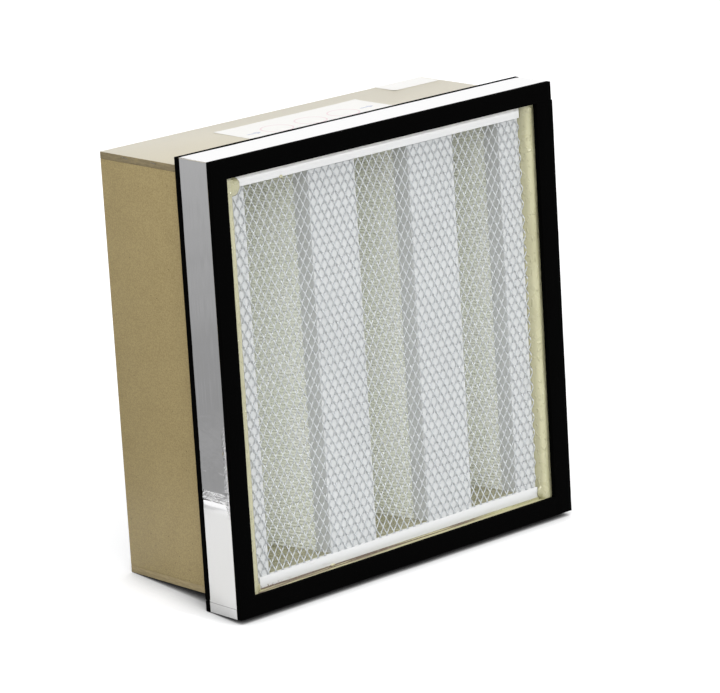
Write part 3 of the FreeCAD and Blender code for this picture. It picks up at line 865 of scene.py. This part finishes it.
class FILTER_OT_resin(bpy.types.Operator):
    """Sealing resin: wavy beads down the side walls, drops beside them, and the beds' finish"""
    bl_idname = "filter.resin"
    bl_label = "Sealing Resin"

    def execute(self, context):
        settings = setting("resin")
        cast = finish("resin", resin)
        for node, side in (("left_bead", -1), ("right_bead", 1)):
            low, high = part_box(node)
            shape = copy_of(node)
            slice_along(shape, Z, 4 * MM)
            slice_along(shape, X, 1.8 * MM)
            bmesh.ops.triangulate(shape, faces=[face for face in shape.faces if len(face.verts) > 4])
            for vert in shape.verts:
                self.wave(vert, low, high, side)
            finish_piece(node.replace("bead", "seam"), shape, (cast,), (node,), 60)
        self.add_drops(cast)
        dress("bottom_bed", cast)
        dress("top_bed", cast)
        return {"FINISHED"}

    def wave(self, vert, low, high, side):
        """Feather a bead's lip, round its face, and let it wander."""
        settings = setting("resin")
        front = max(0.0, 1 - (vert.co.y - low.y) / (0.4 * (high.y - low.y)))
        if front <= 0:
            return
        width = high.x - low.x
        from_lip = (vert.co.x - low.x if side > 0 else high.x - vert.co.x) / width
        upward = (vert.co.z - low.z) / (high.z - low.z)
        slow = noise.noise(Vector((side * 5.0, 0, vert.co.z * 14)))
        quick = noise.noise(Vector((side * 9.0, vert.co.x * 50, vert.co.z * 55)))
        fall = settings.bead_lip * max(0.0, 1 - from_lip / 0.4) ** 1.6
        bulge = settings.bead_bulge * (1 - (1.55 * from_lip - 1) ** 2)
        wander = 0.35 * settings.bead_wave * (slow + quick)
        vert.co.y += front * (fall - bulge - wander * (1 - 0.5 * from_lip))
        lip = max(0.0, 1 - from_lip / 0.8)
        draw_back = 5 * MM * (1 - (2 * upward - 1) ** 2) if side > 0 else 0.0
        vert.co.x += lip * front * (side * draw_back + settings.bead_wave * (0.8 * slow + 0.4 * quick))

    def add_drops(self, cast):
        """Blobs where resin ran over the rails: place and half size of each, in millimetres."""
        drops = (
            ((-262, -107.6, 569), (15, 4.4, 14)),
            ((-257, -110.4, 574), (5, 2.4, 4)),
            ((-271, -110.4, 549), (5, 3, 9)),
            ((270, -109, 575), (7, 5, 7)),
            ((-175, -106, 566), (3.4, 1.2, 2.2)),
            ((-128, -106.4, 28.5), (4.5, 1.6, 2.4)),
            ((-262, -106, 33), (6, 2.4, 6)),
            ((262, -107.4, 36), (7, 2.4, 9)),
        )
        shape = bmesh.new()
        for place, half in drops:
            made = bmesh.ops.create_icosphere(shape, subdivisions=3, radius=1)["verts"]
            for vert in made:
                vert.co *= 1 + 0.22 * noise.noise(vert.co * 1.4 + Vector(place) * 0.1)
            bmesh.ops.scale(shape, vec=Vector(half) * MM, verts=made)
            bmesh.ops.translate(shape, vec=Vector(place) * MM, verts=made)
        finish_piece("resin_drops", shape, (cast,), (), 80)


class FILTER_OT_labels(bpy.types.Operator):
    """Two stickers on the top board, the wide one with plain rings and arrows"""
    bl_idname = "filter.labels"
    bl_label = "Stickers"

    def execute(self, context):
        settings = setting("labels")
        for node in ("wide_label", "small_label"):
            low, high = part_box(node)
            shape = block(low, high)
            slice_along(shape, X, 6 * MM)
            slice_along(shape, Y, 6 * MM)
            middle = (low + high) / 2
            half = high - middle
            for vert in shape.verts:
                self.curl(vert, middle, half, settings.curl)
            paper = finish(node, lambda: sticker(node == "wide_label"))
            finish_piece(node.replace("label", "sticker"), shape, (paper,), (node,))
        self.add_arrows()
        return {"FINISHED"}

    def curl(self, vert, middle, half, reach):
        across = abs(vert.co.x - middle.x) / half.x
        along = abs(vert.co.y - middle.y) / half.y
        corner = max(0.0, across + along - 1.75) * 4
        vert.co.z += reach * corner ** 2 + 0.12 * MM * (1 + noise.noise(vert.co * 30)) * max(across, along) ** 6

    def add_arrows(self):
        """Two plain arrows near the ends of the wide sticker."""
        low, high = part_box("wide_label")
        middle = (low + high) / 2
        shape = bmesh.new()
        for offset, size_mm in ((-101, 24), (101, 24)):
            corners = [(-0.5, -0.08), (0.1, -0.08), (0.1, -0.24), (0.5, 0), (0.1, 0.24), (0.1, 0.08), (-0.5, 0.08)]
            verts = [shape.verts.new((middle.x + (offset + x * size_mm) * MM, middle.y + y * size_mm * MM,
                                      high.z + 0.02 * MM)) for x, y in corners]
            face = shape.faces.new(verts)
            risen = bmesh.ops.extrude_face_region(shape, geom=[face])["geom"]
            bmesh.ops.translate(shape, vec=(0, 0, 0.04 * MM),
                                verts=[item for item in risen if isinstance(item, bmesh.types.BMVert)])
        bmesh.ops.recalc_face_normals(shape, faces=shape.faces)
        finish_piece("sticker_arrows", shape, (finish("printed_arrow", printed_arrow),), ())


class FILTER_OT_staples(bpy.types.Operator):
    """Staples in the ends of the top board and one pressed into the right bead"""
    bl_idname = "filter.staples"
    bl_label = "Staples"

    def execute(self, context):
        settings = setting("case")
        low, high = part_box("top_board")
        steel = finish("staple_steel", staple_steel)
        shape = bmesh.new()
        wide, wire = settings.staple_width, settings.staple_wire
        height = high.z - 3.2 * MM
        for side in (low.x, high.x):
            for depth in (70, 12, -46):
                self.add_staple(shape, Vector((side, depth * MM, height)), Vector((wire * 0.5, wide, wire)), 0.12)
        bead_low, bead_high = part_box("right_bead")
        self.add_staple(shape, Vector((bead_low.x + 13 * MM, bead_low.y - 0.9 * MM, 203 * MM)),
                        Vector((wide * 0.6, wire * 0.6, wire * 0.8)), 0.25)
        finish_piece("staples", shape, (steel,), ())
        return {"FINISHED"}

    def add_staple(self, shape, place, sides, tilt):
        made = bmesh.ops.create_cube(shape, size=1)["verts"]
        bmesh.ops.scale(shape, vec=sides, verts=made)
        bmesh.ops.rotate(shape, cent=(0, 0, 0), matrix=Matrix.Rotation(tilt, 3, "X"), verts=made)
        bmesh.ops.translate(shape, vec=place, verts=made)
        edges = list({edge for vert in made for edge in vert.link_edges})
        round_edges(shape, min(sides) * 0.35, 2, edges)


class FILTER_OT_stage(bpy.types.Operator):
    """Pale floor, surrounding light, three lamps, a glowing card that paints the foil's reflection, and the camera
    """
    bl_idname = "filter.stage"
    bl_label = "Stage"

    def execute(self, context):
        settings = setting("stage")
        self.add_floor(settings)
        self.add_world(settings)
        self.add_sun("key", (0.3, -0.85, 0.42), settings.key, 7)
        self.add_sun("side", (-0.72, -0.60, 0.34), settings.side, 80)
        self.add_sun("top", (-0.05, -0.15, 0.99), settings.top, 40)
        self.add_card(settings)
        camera = bpy.data.objects.new("camera", bpy.data.cameras.new("camera"))
        context.scene.collection.objects.link(camera)
        camera.data.lens = settings.lens
        camera.data.sensor_width = 36
        camera.data.clip_end = 100
        camera.location = (-3.56432, -4.06719, 1.68122)
        camera.rotation_euler = Euler([math.radians(turn) for turn in (75.4805, 3.3532, -42.3939)])
        context.scene.camera = camera
        context.scene.view_settings.view_transform = "Standard"
        return {"FINISHED"}

    def add_floor(self, settings):
        """A floor that slopes as the filter leans, through the rear edge of the collar's foam."""
        shape = bmesh.new()
        bmesh.ops.create_grid(shape, x_segments=1, y_segments=1, size=9)
        rest = Vector((0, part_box("rear_foam_bottom")[1].y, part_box("rear_foam_bottom")[0].z))
        bmesh.ops.rotate(shape, cent=(0, 0, 0), matrix=Matrix.Rotation(settings.lean, 3, "X"), verts=shape.verts)
        bmesh.ops.translate(shape, vec=rest, verts=shape.verts)
        mesh = bpy.data.meshes.new("floor")
        shape.to_mesh(mesh)
        shape.free()
        floor = bpy.data.objects.new("floor", mesh)
        bpy.context.scene.collection.objects.link(floor)
        mesh.materials.append(self.floor_finish(settings))

    def seen_rays(self, tree):
        """1 for rays that the camera sees straight, in a reflection or through glass."""
        path = tree.nodes.new("ShaderNodeLightPath")
        shown = path.outputs["Is Camera Ray"]
        for kind in ("Is Glossy Ray", "Is Transmission Ray"):
            either = tree.nodes.new("ShaderNodeMath")
            either.operation = "MAXIMUM"
            tree.links.new(shown, either.inputs[0])
            tree.links.new(path.outputs[kind], either.inputs[1])
            shown = either.outputs[0]
        return shown

    def blend(self, tree, shown, plain, bright, output):
        """Join two shaders, the bright one for the rays that show."""
        mixed = tree.nodes.new("ShaderNodeMixShader")
        tree.links.new(shown, mixed.inputs[0])
        tree.links.new(plain, mixed.inputs[1])
        tree.links.new(bright, mixed.inputs[2])
        tree.links.new(mixed.outputs[0], tree.nodes[output].inputs["Surface"])

    def floor_finish(self, settings):
        """Matt white that looks a little brighter than it lights, so that only the shadow shows; near the filter its
        colour and glow fall with ambient occlusion, a painted contact shadow.
        """
        pale = Finish("floor", 1.0, 0.0)
        sky = pale.add("ShaderNodeAmbientOcclusion", {"Distance": settings.contact}, samples=16).outputs["AO"]
        lit = pale.ramp(sky, 0.0, 0.9)
        pale.set("Base Color", pale.mix(lit, (0, 0, 0), settings.floor))
        lift = pale.sum("MULTIPLY", lit, settings.floor_lift)
        glow = pale.add("ShaderNodeEmission", {"Color": (1, 1, 1), "Strength": lift})
        both = pale.add("ShaderNodeAddShader", {0: pale.shader.outputs[0], 1: glow.outputs[0]})
        self.blend(pale.tree, self.seen_rays(pale.tree), pale.shader.outputs[0], both.outputs[0],
                   "Material Output")
        return pale.material

    def add_world(self, settings):
        world = bpy.data.worlds.new("soft studio")
        bpy.context.scene.world = world
        world.use_nodes = True
        tree = world.node_tree
        light = tree.nodes["Background"]
        light.inputs["Color"].default_value = (1, 1, 1, 1)
        light.inputs["Strength"].default_value = settings.fill
        white = tree.nodes.new("ShaderNodeBackground")
        white.inputs["Strength"].default_value = settings.white
        self.blend(tree, self.seen_rays(tree), light.outputs[0], white.outputs[0], "World Output")

    def add_sun(self, name, toward, share_of_light, width):
        """A far lamp; its share is the brightness that it gives to a white surface facing it."""
        lamp = bpy.data.lights.new(name, "SUN")
        lamp.energy = share_of_light * math.pi
        lamp.angle = math.radians(width)
        holder = bpy.data.objects.new(name, lamp)
        bpy.context.scene.collection.objects.link(holder)
        holder.rotation_euler = (-Vector(toward)).to_track_quat("-Z", "Y").to_euler()

    def add_card(self, settings):
        """A glowing card beside the left face that only reflections see, a painted reflection so that the foil has a
        tone to show.
        """
        shape = block(Vector((-0.4, -0.004, -0.1)), Vector((0.35, 0.004, 1.5)))
        turn = Matrix.Rotation(math.radians(41.5), 3, "Z")
        bmesh.ops.rotate(shape, cent=(0, 0, 0), matrix=turn, verts=shape.verts)
        bmesh.ops.translate(shape, vec=(-0.516, 0.17, 0), verts=shape.verts)
        mesh = bpy.data.meshes.new("glowing_reflection_card")
        shape.to_mesh(mesh)
        shape.free()
        card = bpy.data.objects.new("glowing_reflection_card", mesh)
        bpy.context.scene.collection.objects.link(card)
        grey = Finish("glowing_reflection_card", 1.0, 0.0)
        grey.set("Base Color", (0, 0, 0))
        line = settings.card_line
        # The card's glow, its step low down, its rise and its clouds are the painted reflection in the foil.
        grey.set("Emission Color", (1, 1, 1))
        foot = grey.ramp(grey.axis(Z), line - 2 * MM, line + 2 * MM, settings.card_foot - settings.card, 0.0)
        rise = grey.ramp(grey.axis(Z), 0.2, 0.6, settings.card, settings.card_top)
        cloud = grey.ramp(grey.noise(9, 3, grey.stretched((1, 1, 3))), 0.3, 0.7, 0.93, 1.07)
        grey.set("Emission Strength", grey.sum("MULTIPLY", grey.sum("ADD", foot, rise), cloud))
        mesh.materials.append(grey.material)
        card.visible_camera = False
        card.visible_diffuse = False
        card.visible_shadow = False


OPERATORS = (FILTER_OT_stage, FILTER_OT_case, FILTER_OT_foil, FILTER_OT_foam, FILTER_OT_packs,
             FILTER_OT_whites, FILTER_OT_guards, FILTER_OT_resin, FILTER_OT_labels, FILTER_OT_staples)
GROUPS = {"stage": StageSettings, "case": CaseSettings, "foil": FoilSettings, "foam": FoamSettings,
          "packs": PackSettings, "whites": WhiteSettings, "guards": GuardSettings,
          "resin": ResinSettings, "labels": LabelSettings}


class FILTER_PT_pieces(bpy.types.Panel):
    """Buttons for the filter's pieces, with the values that shape them"""
    bl_idname = "FILTER_PT_pieces"
    bl_label = "Filter Pieces"
    bl_space_type = "VIEW_3D"
    bl_region_type = "UI"
    bl_category = "Filter"

    def draw(self, context):
        for operator in OPERATORS:
            self.layout.operator(operator.bl_idname)
        for group in GROUPS:
            box = self.layout.box()
            box.label(text=group.capitalize())
            values = getattr(context.scene, "filter_" + group)
            for name in values.__annotations__:
                box.prop(values, name)


def register():
    for settings in GROUPS.values():
        bpy.utils.register_class(settings)
    for operator in OPERATORS:
        bpy.utils.register_class(operator)
    bpy.utils.register_class(FILTER_PT_pieces)
    for group, settings in GROUPS.items():
        setattr(bpy.types.Scene, "filter_" + group, PointerProperty(type=settings))


def unregister():
    for group in GROUPS:
        delattr(bpy.types.Scene, "filter_" + group)
    bpy.utils.unregister_class(FILTER_PT_pieces)
    for operator in reversed(OPERATORS):
        bpy.utils.unregister_class(operator)
    for settings in reversed(list(GROUPS.values())):
        bpy.utils.unregister_class(settings)


def main():
    register()
    for operator in OPERATORS:
        family, name = operator.bl_idname.split(".")
        getattr(getattr(bpy.ops, family), name)()


if __name__ == "__main__":
    main()
